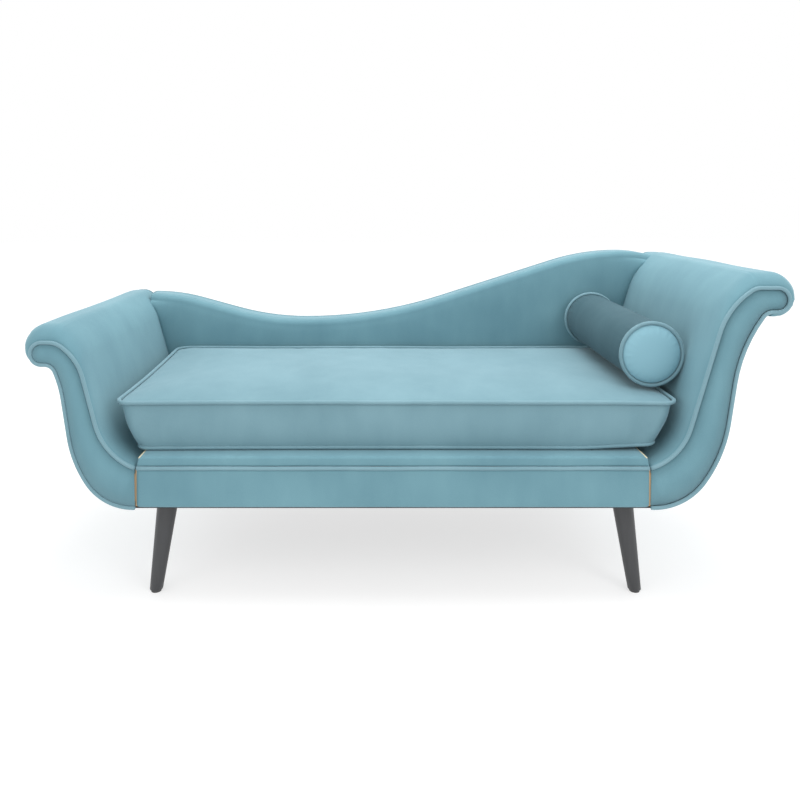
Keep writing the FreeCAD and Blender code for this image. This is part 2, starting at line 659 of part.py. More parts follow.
leg_height = size("rail_bottom") - size("plate_thickness") - size("glide_height")
leg_sides = int(size("leg_sides"))
holes = []
plates = []
bolts = []
blocks = []
glides = []
for name, sign, lean, foot, top in corners:
    splay = size("leg_splay")
    rings = []
    for centre, radius in ((Vector(0, 0, 0), size("leg_foot_radius")),
                           (Vector(-sign * splay, lean * splay, leg_height), size("leg_top_radius"))):
        rings.append([centre + Rotation(Vector(0, 0, 1), 360 * number / leg_sides).multVec(Vector(radius, 0, 0))
                      for number in range(leg_sides)])
    taper = locate(solid(f"{name}_taper", stretched(rings)), *foot, "sizes.glide_height")
    hole = cylinder(f"{name}_hole", "sizes.bolt_radius + sizes.clearance / 2",
                    "sizes.bolt_length + sizes.clearance")
    locate(hole, top[0], top[1], f"{PLATE_BOTTOM} - sizes.bolt_depth")
    place(cut(f"{name}_leg", taper, [hole]))

    bolt = cylinder(f"{name}_bolt", "sizes.bolt_radius", "sizes.bolt_length")
    bolts.append(locate(bolt, top[0], top[1], f"{PLATE_BOTTOM} - sizes.bolt_depth"))
    plate = box(f"{name}_plate", "sizes.plate_width", "sizes.plate_width", "sizes.plate_thickness")
    locate(plate, f"{top[0]} - sizes.plate_width / 2", f"{top[1]} - sizes.plate_width / 2", PLATE_BOTTOM)
    plates.append(cut(f"{name}_drilled_plate", plate, [hole]))
    glide = cylinder(f"{name}_glide", "sizes.glide_radius", "sizes.glide_height")
    glides.append(locate(glide, foot[0], foot[1]))

    block = box(f"{name}_block", "sizes.block_width", "sizes.block_length", "sizes.block_height")
    x = f"-{END_RAIL_X} + sizes.rail_thickness" if sign < 0 else \
        f"{END_RAIL_X} - sizes.rail_thickness - sizes.block_width"
    y = RAIL_Y if lean > 0 else f"{RAIL_BACK_Y} - sizes.block_length"
    locate(block, x, y, "sizes.rail_bottom")
    blocks.append(cut(f"{name}_drilled_block", block, [hole]))
    opening_half = "(sizes.plate_width / 2 + sizes.dust_cover_gap)"
    opening = box(f"{name}_opening", f"2 * {opening_half}", f"2 * {opening_half}", "sizes.rail_bottom")
    holes.append(locate(opening, f"{top[0]} - {opening_half}", f"{top[1]} - {opening_half}"))
place(group("leg_plates", plates))
place(group("leg_bolts", bolts))
place(group("leg_glides", glides))
place(group("corner_blocks", blocks))

cloth_low = f"({PLATE_BOTTOM} - sizes.clearance - sizes.dust_cover_thickness)"
cloth = box("dust_cloth", f"2 * {END_RAIL_X}", f"{REAR_Y} - {SKIN_Y}", "sizes.dust_cover_thickness")
locate(cloth, f"-{END_RAIL_X}", SKIN_Y, cloth_low)
place(cut("dust_cover", cloth, holes))

# Seat cushion: a box with tilted ends, a crowned top, piped seams and a filling

cushion_depth = size("total_depth") - size("back_depth") - size("cushion_back_gap") - size("cushion_front_y")
low_seam = size("deck_height") + gap


def plan_points(inset, level, corner, rise, flare, draw=0):
    """Round the cushion at one level, tilted up to the back and drawn in between the corners."""
    left = -size("seam_x") - size("cushion_left_over") - flare + inset
    right = size("seam_x") + size("cushion_right_over") + flare - inset
    front = size("cushion_front_y") + inset
    back = size("cushion_front_y") + cushion_depth - inset

    def lift(x, y):
        return Vector(x, y, level + rise * (y - size("cushion_front_y")) / cushion_depth)

    rounded = []
    for x, y, to_x, to_y, heading in ((left, front, 1, 1, 180), (right, front, -1, 1, 270),
                                      (right, back, -1, -1, 0), (left, back, 1, -1, 90)):
        points = []
        for step in range(int(size("corner_steps")) + 1):
            angle = math.radians(heading + 90 * step / size("corner_steps"))
            points.append(Vector(x + to_x * corner + corner * math.cos(angle),
                                 y + to_y * corner + corner * math.sin(angle), 0))
        rounded.append(points)
    plan = []
    for points, following in zip(rounded, rounded[1:] + rounded[:1]):
        plan += points
        side = following[0] - points[-1]
        inwards = Vector(-side.y, side.x, 0).normalize()
        for step in range(1, int(size("side_steps"))):
            share = step / size("side_steps")
            plan.append(points[-1] + side * share + inwards * (4 * draw * share * (1 - share)))
    return [lift(point.x, point.y) for point in plan]


def cushion_shape(inset, border_steps, crown_steps, draw=0):
    """Rings from the bottom seam up the swelling border and over the crown."""
    corner = size("cushion_corner") - inset / 2
    tall = size("cushion_height") - 2 * inset
    low = low_seam + inset
    seam = inset + pipe_radius
    rings = []
    for step in range(border_steps + 1):
        share = step / border_steps
        rings.append(plan_points(seam - size("border_swell") * math.sin(math.pi * share), low + tall * share,
                               corner, size("cushion_back_rise") * share, size("cushion_flare") * share, draw))
    for step in range(1, crown_steps + 1):
        angle = math.pi / 2 * step / crown_steps
        inward = size("crown_width") * (1 - math.cos(angle))
        rings.append(plan_points(seam + inward, low + tall + size("cushion_crown") * math.sin(angle),
                               corner + inward / 4, size("cushion_back_rise"), size("cushion_flare"), draw))
    return stretched(rings)


def seam_cord(level):
    """A cord of six sides that follows the cushion's outline just outside it."""
    rise = size("cushion_back_rise") * (level - low_seam) / size("cushion_height")
    rings = []
    for number in range(6):
        angle = math.pi / 3 * (number + 0.5)
        inset = pipe_radius * math.cos(angle) - gap
        height = level + pipe_radius * math.sin(angle)
        flare = size("cushion_flare") * (height - low_seam) / size("cushion_height")
        rings.append(plan_points(inset, height, size("cushion_corner") - inset, rise, flare,
                                 size("side_draw")))
    return stretched(rings, looped=True)


inner_inset = size("cushion_wall") + size("side_draw")
cover = cushion_shape(0, int(size("border_steps")), int(size("crown_steps")), size("side_draw"))
place(solid("seat_cushion_cover", cover.cut(cushion_shape(inner_inset, 1, 1))))
place(solid("seat_cushion_filling", cushion_shape(inner_inset + gap, 1, 1)))
seams = {"cushion_bottom_piping": seam_cord(low_seam + pipe_radius),
         "cushion_top_piping": seam_cord(low_seam + size("cushion_height"))}
for label, shape in seams.items():
    place(solid(label, shape))
bearing = [cover] + list(seams.values())
bearing = Part.makeCompound(bearing)

# Bolster: a turned cover, its filling and a piped seam round each end


bolster_length = size("total_depth") - size("back_depth") - size("bolster_back_gap") - size("bolster_front_y")


def spun(points):
    """A closed outline of corners turned a full circle about Y."""
    return Part.Face(Part.makePolygon(points + points[:1])).revolve(Vector(0, 0, 0), Vector(0, 1, 0), 360)


def bolster_shape():
    """A cylinder with domed ends, turned about Y round the middle of its length."""
    flat = size("bolster_end_flat")
    dome = [Vector(0, bolster_length / 2, 0)]
    for step in range(int(size("bolster_end_steps")) + 1):
        angle = math.pi / 2 * step / size("bolster_end_steps")
        along = bolster_length / 2 - size("bolster_end_crown") * (1 - math.cos(angle))
        dome.append(Vector(0, along, flat + (size("bolster_radius") - flat) * math.sin(angle)))
    return spun(dome + [Vector(0, -point.y, point.z) for point in reversed(dome)])


def bolster_core(inset):
    """The plain roll inside the bolster's cover."""
    half = bolster_length / 2 - size("bolster_end_crown") - inset
    sides = int(size("core_sides"))
    corners = [Rotation(Vector(0, 1, 0), 360 * number / sides).multVec(at(0, size("bolster_radius") - inset))
               - Vector(0, half, 0) for number in range(sides)]
    return Part.Face(Part.makePolygon(corners + corners[:1])).extrude(Vector(0, 2 * half, 0))


ring_radius = size("bolster_radius") + pipe_radius + gap
ring_edge = bolster_length / 2 - size("bolster_end_crown")
rings = []
for y in (-ring_edge, ring_edge):
    section = [Rotation(Vector(1, 0, 0), 60 * number).multVec(Vector(0, 0, pipe_radius)) for number in range(6)]
    rings.append(spun([point + Vector(0, y, ring_radius) for point in section]))
rings = Part.makeCompound(rings)

# The bolster lies against the right arm's wall and settles onto the cushion
wall_angle = math.radians(right_arm.get("wall_angle"))
off_wall = at(-math.sin(wall_angle), math.cos(wall_angle))
tilt = Rotation(Vector(0, 0, 1), size("bolster_yaw")) * Rotation(Vector(1, 0, 0), size("bolster_tilt"))
turned_in = abs(tilt.multVec(Vector(0, 1, 0)).dot(off_wall)) * ring_edge
reach_of_bolster = ring_radius + pipe_radius + gap + turned_in
contact = right_arm.skinned(0).wall_middle + off_wall * (size("wall_swell") + reach_of_bolster)
outer_form = Part.makeCompound([bolster_shape(), rings])
outer_form.Placement = FreeCAD.Placement(Vector(0, 0, 0), tilt)
along_wall = at(math.cos(wall_angle), math.sin(wall_angle))
centre = contact + Vector(0, size("bolster_front_y") + bolster_length / 2, 0)
above = bearing.BoundBox.ZMax + outer_form.BoundBox.ZLength / 2 + gap
centre += along_wall * (above - centre.z) / along_wall.z
drop = outer_form.BoundBox.ZLength
while abs(drop) > CLOSE:
    outer_form.Placement.Base = centre
    drop = outer_form.distToShape(bearing)[0] - gap
    centre -= along_wall * drop
x, y, z = (f"{value}" for value in centre)
for label, shape in (("bolster_cover", bolster_shape().cut(bolster_core(size("bolster_wall")))),
                     ("bolster_filling", bolster_core(size("bolster_wall") + gap)),
                     ("bolster_piping", rings)):
    piece = solid(label, shape)
    piece.Placement.Rotation = tilt
    place(piece, x, y, z)

# Check every object, then write each finished piece to its own file

doc.recompute()
for piece in doc.Objects:
    if "Invalid" in piece.State or "Error" in piece.State:
        raise RuntimeError(f"{piece.Label} failed to build")
os.makedirs("parts", exist_ok=True)
for piece in finished:
    if piece.Shape.isNull() or not piece.Shape.isValid():
        raise RuntimeError(f"{piece.Label} has no valid shape")
    piece.Shape.exportStep(f"parts/{piece.Label}.step")
print(f"{len(finished)} pieces written")
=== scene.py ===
import math
import bmesh
import bpy
from mathutils import Matrix, Vector, noise


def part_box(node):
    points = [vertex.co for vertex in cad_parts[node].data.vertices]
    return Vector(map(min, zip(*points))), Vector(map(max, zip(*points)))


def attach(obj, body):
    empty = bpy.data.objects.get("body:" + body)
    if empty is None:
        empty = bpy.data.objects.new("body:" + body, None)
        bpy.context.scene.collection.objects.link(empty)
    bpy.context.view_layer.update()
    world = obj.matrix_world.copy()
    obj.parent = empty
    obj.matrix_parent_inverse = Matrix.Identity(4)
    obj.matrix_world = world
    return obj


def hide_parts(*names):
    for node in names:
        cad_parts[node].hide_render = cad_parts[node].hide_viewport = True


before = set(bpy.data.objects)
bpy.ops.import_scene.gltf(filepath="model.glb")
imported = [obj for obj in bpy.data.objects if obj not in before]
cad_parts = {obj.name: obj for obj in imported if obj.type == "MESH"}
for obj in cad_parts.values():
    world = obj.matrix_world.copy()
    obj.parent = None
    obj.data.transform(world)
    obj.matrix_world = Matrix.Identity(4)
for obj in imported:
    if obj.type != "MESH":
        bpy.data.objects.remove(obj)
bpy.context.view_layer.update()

baseLow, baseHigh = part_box("base_front")
baseX = (baseLow.x + baseHigh.x) / 2      # middle of the seat base
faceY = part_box("left_arm_facing")[0].y    # plane of the arm facings
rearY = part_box("outside_back")[1].y
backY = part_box("inside_back")[0].y        # front of the padded back

body = {"seamX": 0.600, "seamHeight": 0.320, "armBottom": 0.228, "pipeRadius": 0.0045,
        "wallSwell": 0.003, "rollCrest": 0.036, "rollUnderRun": 0.014, "outsideSwell": 0.005}
arms = {
    "left": {"sign": -1, "top": 0.612, "levelRun": 0.015, "riseAngle": 20.4, "wallAngle": 75,
             "shoulderAngle": 36, "cup": 0.150, "shoulder": 0.132, "crest": 0.052, "tip": 0.026,
             "underRun": 0.007, "roll": 0.047, "rollRise": 0.037, "neck": 0.026, "neckAngle": 66,
             "flare": 0.253, "flareAngle": 81, "bellyAngle": 56, "belly": 0.265, "keel": 0.130},
    "right": {"sign": 1, "top": 0.739, "levelRun": 0.038, "riseAngle": 17.6, "wallAngle": 73,
              "shoulderAngle": 33, "cup": 0.141, "shoulder": 0.182, "crest": 0.040, "tip": 0.028,
              "underRun": 0.010, "roll": 0.052, "rollRise": 0.034, "neck": 0.030, "neckAngle": 53.5,
              "flare": 0.354, "flareAngle": 81, "bellyAngle": 54, "belly": 0.321, "keel": 0.145},
}


# Outlines in the XZ plane, walked as straight runs and tangent arcs

class Trail:
    def __init__(self, x, z, heading):
        self.bm = bmesh.new()
        self.last = self.bm.verts.new((x, 0, z))
        self.heading = math.radians(heading)

    def run(self, length, steps):
        stride = Vector((math.cos(self.heading), 0, math.sin(self.heading))) * (length / steps)
        for _ in range(steps):
            self.last = bmesh.ops.extrude_vert_indiv(self.bm, verts=[self.last])["verts"][0]
            self.last.co += stride

    def turn(self, radius, degrees, steps):
        side = Vector((-math.sin(self.heading), 0, math.cos(self.heading)))
        centre = self.last.co + side * math.copysign(radius, degrees)
        made = bmesh.ops.spin(self.bm, geom=[self.last], cent=centre, axis=(0, -1, 0),
                              angle=math.radians(degrees), steps=steps)
        self.last = [part for part in made["geom_last"] if isinstance(part, bmesh.types.BMVert)][0]
        self.heading += math.radians(degrees)

    def points(self):
        found = [vert.co.copy() for vert in self.bm.verts]
        self.bm.free()
        return found


def wallClimb(arm, wall, riseBy, crest):
    rise, lean, ease = (math.radians(arm[key]) for key in ("riseAngle", "wallAngle", "shoulderAngle"))
    climb = arm["top"] + riseBy - body["seamHeight"] - wall * math.cos(rise)
    climb -= (arm["cup"] - wall) * (math.cos(rise) - math.cos(lean))
    climb -= (arm["shoulder"] + wall) * (math.cos(ease) - math.cos(lean)) + crest * (1 - math.cos(ease))
    return climb / math.sin(lean)


def tipX(arm):
    rise, lean, ease = (math.radians(arm[key]) for key in ("riseAngle", "wallAngle", "shoulderAngle"))
    x = body["seamX"] + arm["cup"] * (math.sin(lean) - math.sin(rise))
    x += wallClimb(arm, 0, 0, arm["crest"]) * math.cos(lean)
    x += arm["shoulder"] * (math.sin(lean) - math.sin(ease)) + arm["crest"] * math.sin(ease)
    return x + arm["levelRun"]


def insideLine(arm, wall, riseBy, crest, tip, centreX):
    rise = math.radians(arm["riseAngle"])
    trail = Trail(body["seamX"] - wall * math.sin(rise), body["seamHeight"] + wall * math.cos(rise),
                  arm["riseAngle"])
    trail.turn(arm["cup"] - wall, arm["wallAngle"] - arm["riseAngle"], 14)
    trail.run(wallClimb(arm, wall, riseBy, crest), 10)
    trail.turn(arm["shoulder"] + wall, arm["shoulderAngle"] - arm["wallAngle"], 12)
    trail.turn(crest, -arm["shoulderAngle"], 8)
    trail.run(centreX - trail.last.co.x, 4)
    trail.turn(tip, -180, 36)
    trail.run(trail.last.co.x - (tipX(arm) - arm["underRun"]), 2)
    return trail.points()


def skinLine(arm, grow):
    return insideLine(arm, grow, grow, arm["crest"] + grow, arm["tip"] + grow, tipX(arm))


def paddedLine(arm):
    return insideLine(arm, body["wallSwell"], arm["rollRise"], body["rollCrest"], arm["roll"],
                      tipX(arm) - arm["underRun"] + body["rollUnderRun"])


def outsideLine(arm, grow):
    neckX = tipX(arm) - arm["underRun"]
    neckZ = arm["top"] - 2 * arm["tip"]
    bend, lean, tuck = (math.radians(arm[key]) for key in ("neckAngle", "flareAngle", "bellyAngle"))
    neck, flare = arm["neck"] - grow, arm["flare"] - grow
    belly, keel = arm["belly"] + grow, arm["keel"] + grow
    drop = neckZ - body["armBottom"] - neck * (1 - math.cos(bend))
    drop -= flare * (math.cos(bend) - math.cos(lean))
    drop -= belly * (math.cos(tuck) - math.cos(lean)) + keel * (1 - math.cos(tuck))
    trail = Trail(neckX, neckZ - grow, 180)
    trail.turn(neck, arm["neckAngle"], 12)
    trail.turn(flare, arm["flareAngle"] - arm["neckAngle"], 6)
    trail.run(drop / math.sin(lean), 6)
    trail.turn(belly, arm["bellyAngle"] - arm["flareAngle"], 10)
    trail.turn(keel, -arm["bellyAngle"], 14)
    trail.run(trail.last.co.x - body["seamX"], 3)
    return trail.points()


def atArm(arm, point, y):
    return Vector((baseX + arm["sign"] * point.x, y, point.z))


def ease(share):
    share = min(max(share, 0), 1)
    return share * share * (3 - 2 * share)


# Surfaces drawn out row by row

def chain(line, closed):
    return list(zip(line, line[1:] + line[:1] if closed else line[1:]))


def drawOut(rows, closed=False):
    bm = bmesh.new()
    line = [bm.verts.new(point) for point in rows[0]]
    edges = [bm.edges.new(pair) for pair in chain(line, closed)]
    for row in rows[1:]:
        made = bmesh.ops.extrude_edge_only(bm, edges=edges)["geom"]
        fresh = {part for part in made if isinstance(part, bmesh.types.BMVert)}
        nextLine = []
        for vert, place in zip(line, row):
            twin = [edge.other_vert(vert) for edge in vert.link_edges if edge.other_vert(vert) in fresh][0]
            twin.co = place
            nextLine.append(twin)
        line = nextLine
        edges = [bm.edges.get(pair) for pair in chain(line, closed)]
    return bm, line


def closeEnd(bm, line):
    made = bmesh.ops.contextual_create(bm, geom=line)
    bmesh.ops.triangulate(bm, faces=made["faces"])


def turnOutwards(bm, heart):
    bmesh.ops.recalc_face_normals(bm, faces=bm.faces)
    lean = sum(face.calc_area() * face.normal.dot(face.calc_center_median() - heart) for face in bm.faces)
    if lean < 0:
        bmesh.ops.reverse_faces(bm, faces=bm.faces)


def openSheet(rows, heart):
    bm, _ = drawOut(rows)
    turnOutwards(bm, heart)
    return bm


def closedForm(rows, heart, matrix=None):
    bm, lastLine = drawOut(rows, closed=True)
    closeEnd(bm, lastLine)
    bm.verts.ensure_lookup_table()
    closeEnd(bm, [bm.verts[number] for number in range(len(rows[0]))])
    if matrix:
        bmesh.ops.transform(bm, matrix=matrix, verts=bm.verts)
    turnOutwards(bm, heart)
    return bm


def roundShare(step, steps):
    turn = math.pi / 2 * step / steps
    return math.sin(turn), 1 - math.cos(turn)


def keep(name, bm, finish, replaces, rides="frame", thickness=0, levels=1):
    mesh = bpy.data.meshes.new(name)
    bm.to_mesh(mesh)
    bm.free()
    return keepMesh(name, mesh, finish, replaces, rides, thickness, levels)


def keepMesh(name, mesh, finish, replaces, rides="frame", thickness=0, levels=0):
    piece = bpy.data.objects.new(name, mesh)
    bpy.context.collection.objects.link(piece)
    mesh.materials.clear()
    mesh.materials.append(finish)
    mesh.polygons.foreach_set("use_smooth", [True] * len(mesh.polygons))
    if thickness:
        wall = piece.modifiers.new("wall", "SOLIDIFY")
        wall.thickness = thickness
        wall.offset = -1
    if levels:
        smooth = piece.modifiers.new("smooth", "SUBSURF")
        smooth.levels = smooth.render_levels = levels
    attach(piece, rides)
    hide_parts(*replaces)
    return piece


def keepCover(name, bm, node, thickness=0, levels=1):
    return keep(name, bm, coverVelvet, [node], thickness=thickness, levels=levels)


def keepCord(name, routes, finish, replaces, rides="frame", radius=None, closed=False):
    curve = bpy.data.curves.new(name + "_line", "CURVE")
    curve.dimensions = "3D"
    curve.bevel_depth = radius or body["pipeRadius"]
    curve.bevel_resolution = 3
    curve.use_fill_caps = True
    for route in routes:
        spline = curve.splines.new("POLY")
        spline.points.add(len(route) - 1)
        for point, place in zip(spline.points, route):
            point.co = (*place, 1)
        spline.use_cyclic_u = closed
    holder = bpy.data.objects.new(name + "_line", curve)
    bpy.context.collection.objects.link(holder)
    bpy.context.view_layer.update()
    mesh = bpy.data.meshes.new_from_object(holder.evaluated_get(bpy.context.evaluated_depsgraph_get()))
    bpy.data.objects.remove(holder)
    bm = bmesh.new()
    bm.from_mesh(mesh)
    bmesh.ops.remove_doubles(bm, verts=bm.verts, dist=1e-5)
    bmesh.ops.recalc_face_normals(bm, faces=bm.faces)
    bm.to_mesh(mesh)
    bm.free()
    return keepMesh(name, mesh, finish, replaces, rides)


# Materials

class Signal:
    def __init__(self, finish, socket):
        self.finish = finish
        self.socket = socket

    def math(self, operation, other, swapped=False):
        pair = (other, self) if swapped else (self, other)
        return self.finish.node("ShaderNodeMath", {"operation": operation}, {0: pair[0], 1: pair[1]})["Value"]

    def __add__(self, other):
        return self.math("ADD", other)

    __radd__ = __add__

    def __sub__(self, other):
        return self.math("SUBTRACT", other)

    def __rsub__(self, other):
        return self.math("SUBTRACT", other, True)

    def __mul__(self, other):
        return self.math("MULTIPLY", other)

    __rmul__ = __mul__


class Finish:
    def __init__(self, name):
        self.material = bpy.data.materials.new(name)
        self.material.use_nodes = True
        self.tree = self.material.node_tree
        self.tree.nodes.clear()

    def node(self, kind, settings, inputs):
        made = self.tree.nodes.new(kind)
        for key, value in settings.items():
            setattr(made, key, value)
        for key, value in inputs.items():
            if isinstance(value, Signal):
                self.tree.links.new(value.socket, made.inputs[key])
            else:
                made.inputs[key].default_value = value
        return {output.name: Signal(self, output) for output in made.outputs if output.enabled}

    def place(self, scale=(1, 1, 1)):
        spot = self.node("ShaderNodeTexCoord", {}, {})["Object"]
        return self.node("ShaderNodeMapping", {}, {"Vector": spot, "Scale": scale})["Vector"]

    def grain(self, scale, detail=3, stretch=(1, 1, 1), roughness=0.5):
        values = {"Vector": self.place(stretch), "Scale": scale, "Detail": detail, "Roughness": roughness}
        return self.node("ShaderNodeTexNoise", {}, values)["Fac"]

    def blend(self, share, first, second):
        first, second = (tone if isinstance(tone, Signal) else (*tone, 1) for tone in (first, second))
        values = {"Factor": share, "A": first, "B": second}
        made = self.tree.nodes.new("ShaderNodeMix")
        made.data_type = "RGBA"
        sockets = {socket.name: socket for socket in made.inputs if socket.enabled}
        for key, value in values.items():
            if isinstance(value, Signal):
                self.tree.links.new(value.socket, sockets[key])
            else:
                sockets[key].default_value = value
        return Signal(self, [output for output in made.outputs if output.enabled][0])

    def done(self, height, strength, distance, inputs):
        values = {"Height": height, "Strength": strength, "Distance": distance}
        inputs["Normal"] = self.node("ShaderNodeBump", {}, values)["Normal"]
        surface = self.node("ShaderNodeBsdfPrincipled", {}, inputs)["BSDF"]
        self.node("ShaderNodeOutputMaterial", {}, {"Surface": surface})
        return self.material


velvetLook = {"napScale": 4.5, "strokeScale": 22, "pileScale": 700, "sheen": 0.42, "sheenRoughness": 0.40,
              "sheenTint": (0.70, 0.92, 1.0, 1), "bump": 0.3, "pileDepth": 0.0006}


def velvet(name, deep, light, sheen=velvetLook["sheen"], paintedHighlightTone=None, paintedHighlightY=0):
    finish = Finish(name)
    nap = finish.grain(velvetLook["napScale"], 2, roughness=0.6)
    stroke = finish.grain(velvetLook["strokeScale"], 2, (1, 1, 0.35), 0.6)
    pile = finish.grain(velvetLook["pileScale"], 1)
    colour = finish.blend(nap * 0.7 + stroke * 0.25 + pile * 0.3 - 0.12, deep, light)
    # Painted highlight: the part of the piece before the given Y is painted in a lighter tone
    if paintedHighlightTone:
        paintedHighlightMask = finish.node("ShaderNodeSeparateXYZ", {}, {"Vector": finish.place()})["Y"].math("LESS_THAN", paintedHighlightY)
        colour = finish.blend(paintedHighlightMask, colour, paintedHighlightTone)
    inputs = {"Base Color": colour, "Roughness": 0.95 - stroke * 0.2,
              "Sheen Weight": sheen, "Sheen Roughness": velvetLook["sheenRoughness"],
              "Sheen Tint": velvetLook["sheenTint"], "Specular IOR Level": 0.2}
    return finish.done(pile * 0.8 + stroke * 0.2, velvetLook["bump"], velvetLook["pileDepth"], inputs)


def timber(name, deep, light, gloss):
    finish = Finish(name)
    rings = finish.grain(26, 5, (1, 1, 0.08), 0.6)
    pores = finish.grain(240, 3, (1, 1, 0.05))
    inputs = {"Base Color": finish.blend(rings, deep, light), "Roughness": gloss + pores * 0.2,
              "Coat Weight": 0.15, "Coat Roughness": 0.3}
    return finish.done(pores + rings * 0.4, 0.2, 0.0004, inputs)


def plainFinish(name, deep, light, scale, roughness, metallic=0.0, bump=0.3):
    finish = Finish(name)
    cloud = finish.grain(scale * 0.1, 3)
    grain = finish.grain(scale, 4)
    inputs = {"Base Color": finish.blend(cloud * 0.6 + grain * 0.4, deep, light),
              "Roughness": roughness + grain * 0.15, "Metallic": metallic}
    return finish.done(grain, bump, 0.0006, inputs)


coverVelvet = velvet("velvet_cover", (0.080, 0.180, 0.225), (0.175, 0.335, 0.385))
# Cushion velvet: the cover velvet painted lighter, a painted highlight for the seat top catching the light
cushionVelvetPaintedLight = velvet("velvet_cushion_painted_light", (0.105, 0.205, 0.245), (0.205, 0.345, 0.395))
pipingVelvet = velvet("velvet_piping", (0.11, 0.21, 0.25), (0.22, 0.36, 0.41))
boxLow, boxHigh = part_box("bolster_cover")
highlightDiscBehind = 0.016      # the bolster's front disc is painted lighter up to here, a painted highlight
# Bolster velvet: the cover velvet painted darker as painted shade, with its front disc painted lighter as a
# painted highlight
bolsterVelvetPaintedShade = velvet("velvet_bolster_painted_shade", (0.022, 0.062, 0.080), (0.060, 0.125, 0.150), 0.16,
                       (0.21, 0.39, 0.46), boxLow.y + highlightDiscBehind)
legWood = timber("leg_wood", (0.016, 0.017, 0.019), (0.05, 0.052, 0.056), 0.38)
hiddenFinishes = {
    "frame_timber": timber("frame_timber", (0.36, 0.22, 0.11), (0.60, 0.42, 0.24), 0.6),
    "webbing": plainFinish("webbing_weave", (0.20, 0.15, 0.09), (0.42, 0.34, 0.22), 420, 0.85),
    "foam": plainFinish("foam_cells", (0.66, 0.58, 0.36), (0.82, 0.76, 0.56), 500, 0.9),
    "dust_cloth": plainFinish("dust_cloth_weave", (0.02, 0.02, 0.022), (0.05, 0.05, 0.055), 700, 0.9),
    "steel": plainFinish("zinc_steel", (0.42, 0.43, 0.44), (0.62, 0.63, 0.64), 160, 0.35, 0.9, 0.1),
    "glide_plastic": plainFinish("glide_plastic", (0.03, 0.03, 0.03), (0.07, 0.07, 0.07), 300, 0.5),
}
print("materials made")

# Camera, lights and floor

view = {"lens": 32.67, "sensor": 36, "shiftX": 0.0325, "shiftY": -0.24875,
        "fromFacing": 1.685, "fromMiddle": -0.0441, "height": 0.941}
cameraData = bpy.data.cameras.new("photo_camera")
camera = bpy.data.objects.new("photo_camera", cameraData)
bpy.context.collection.objects.link(camera)
cameraData.lens = view["lens"]
cameraData.sensor_width = view["sensor"]
cameraData.shift_x = view["shiftX"]
cameraData.shift_y = view["shiftY"]
camera.location = (baseX + view["fromMiddle"], faceY - view["fromFacing"], view["height"])
camera.rotation_euler = (math.radians(90), 0, 0)
bpy.context.scene.camera = camera


def addLight(name, place, target, size, power):
    data = bpy.data.lights.new(name, "AREA")
    data.shape = "DISK"
    data.size = size
    data.energy = power
    lamp = bpy.data.objects.new(name, data)
    bpy.context.collection.objects.link(lamp)
    lamp.location = place
    lamp.rotation_euler = (Vector(target) - Vector(place)).to_track_quat("-Z", "Y").to_euler()


lampTarget = (0, 0, 0.4)
addLight("top_light", (0.2, 0.1, 3.2), lampTarget, 2.6, 66)
addLight("key_light", (2.2, -2.8, 2.6), lampTarget, 1.8, 30)
addLight("fill_light", (-2.6, -2.6, 1.5), lampTarget, 2.2, 18)
world = bpy.data.worlds.new("studio")
world.use_nodes = True
background = world.node_tree.nodes["Background"]
background.inputs["Color"].default_value = (1, 1, 1, 1)
background.inputs["Strength"].default_value = 1.0
bpy.context.scene.world = world
bpy.context.scene.view_settings.view_transform = "Standard"

floorBm = bmesh.new()
bmesh.ops.create_grid(floorBm, x_segments=4, y_segments=4, size=14)
floorMesh = bpy.data.meshes.new("studio_floor")
floorBm.to_mesh(floorMesh)
floorBm.free()
floor = bpy.data.objects.new("studio_floor", floorMesh)
bpy.context.collection.objects.link(floor)
floorFinish = Finish("pale_floor")
floorTone = {"Base Color": floorFinish.blend(floorFinish.grain(4), (0.42, 0.42, 0.42), (0.46, 0.46, 0.46)),
             "Roughness": 0.8, "Specular IOR Level": 0.1,
             "Emission Color": (1, 1, 1, 1), "Emission Strength": 0.62}
floorMesh.materials.append(floorFinish.done(floorFinish.grain(40), 0.02, 0.0006, floorTone))


# Arms

padLook = {"frontSteps": 7, "rearSteps": 26, "tuck": 0.0035, "deep": 1.15, "deepLeast": 0.006,
           "pucker": 0.0022, "puckerPitch": 0.55, "puckerFull": 0.03, "puckerReach": 0.05, "rear": 0.006,
           "rowSpread": 1.35, "waver": 0.0022, "waverX": 7, "waverY": 5, "rearHold": 0.04,
           "under": -0.002, "wall": 0.004, "skirtIn": 0.003, "skirtDrop": 0.024}
panelLook = {"frontSteps": 4, "rearSteps": 14, "deep": 0.008}
facingLook = {"inset": 0.0052, "cordBehind": 0.0012,
              "rounding": ((0.0012, 0.0016), (0.0022, 0.0011), (0.0034, 0.0006), (0.005, 0.0002))}
armRear = rearY - padLook["rear"]
frontPlane = faceY + padLook["tuck"]


def padFront(arm, inner, outer, step):
    out, back = roundShare(step, padLook["frontSteps"])
    row = []
    for number, (near, far) in enumerate(zip(inner, outer)):
        full = (far - near).length
        gather = noise.noise(Vector((number * padLook["puckerPitch"], arm["sign"] * 3, 0))) * padLook["pucker"]
        gather *= min(full / padLook["puckerFull"], 1) * out
        spot = near + (far - near) * out
        spot += (far - near).normalized() * gather
        deep = full * padLook["deep"] + padLook["deepLeast"]
        row.append(atArm(arm, spot, frontPlane + deep * back))
    return row


def padRear(arm, inner, outer, fronts, step):
    share = step / padLook["rearSteps"]
    row = []
    for near, point, front in zip(inner, outer, fronts):
        y = front.y + (armRear - front.y) * share ** padLook["rowSpread"]
        fade = math.exp(-(y - front.y) / padLook["puckerReach"])
        cloud = Vector((point.x * padLook["waverX"], y * padLook["waverY"], point.z * padLook["waverX"]))
        soft = noise.noise(cloud) * padLook["waver"]
        ends = min(1, (armRear - y) / padLook["rearHold"])
        hold = atArm(arm, point + (point - near).normalized() * soft * (1 - fade) * ends, y)
        gathered = front - atArm(arm, point, front.y)
        row.append(hold + gathered * fade)
    return row


